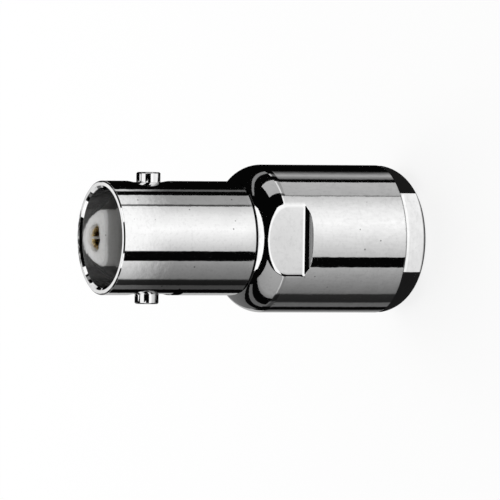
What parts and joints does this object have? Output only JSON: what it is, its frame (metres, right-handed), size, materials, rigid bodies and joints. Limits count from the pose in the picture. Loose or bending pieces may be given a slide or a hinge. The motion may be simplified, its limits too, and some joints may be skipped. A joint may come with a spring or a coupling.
{
  "type": "coaxial adapter",
  "caption": "Rigid coaxial adapter that joins a bayonet jack with side lugs to a small screw-on socket with a centre pin, in a round body with wrench flats.",
  "frame": {"origin": "centre of the FME end face, on which the adapter stands", "axes": "+Z along the adapter's axis, up from the FME end to the BNC mouth; the bayonet lugs point along -X and +X, and the wrench flats face -Y and +Y"},
  "size_m": [0.0125, 0.0126, 0.028],
  "materials": {
    "body_nickel": "bright nickel plate on turned brass",
    "barrel_nickel": "bright nickel plate on turned brass",
    "lug_nickel": "bright nickel plate on turned brass",
    "ptfe": "white PTFE, waxy and slightly translucent",
    "contact_gold": "gold plate"
  },
  "bodies": {
    "root": {"main_body": "body_nickel", "bnc_barrel": "barrel_nickel", "bayonet_lug_left": "lug_nickel", "bayonet_lug_right": "lug_nickel", "bnc_insulator": "ptfe", "fme_insulator": "ptfe", "bnc_socket_contact": "contact_gold", "fme_pin_contact": "contact_gold"}
  },
  "joints": []
}
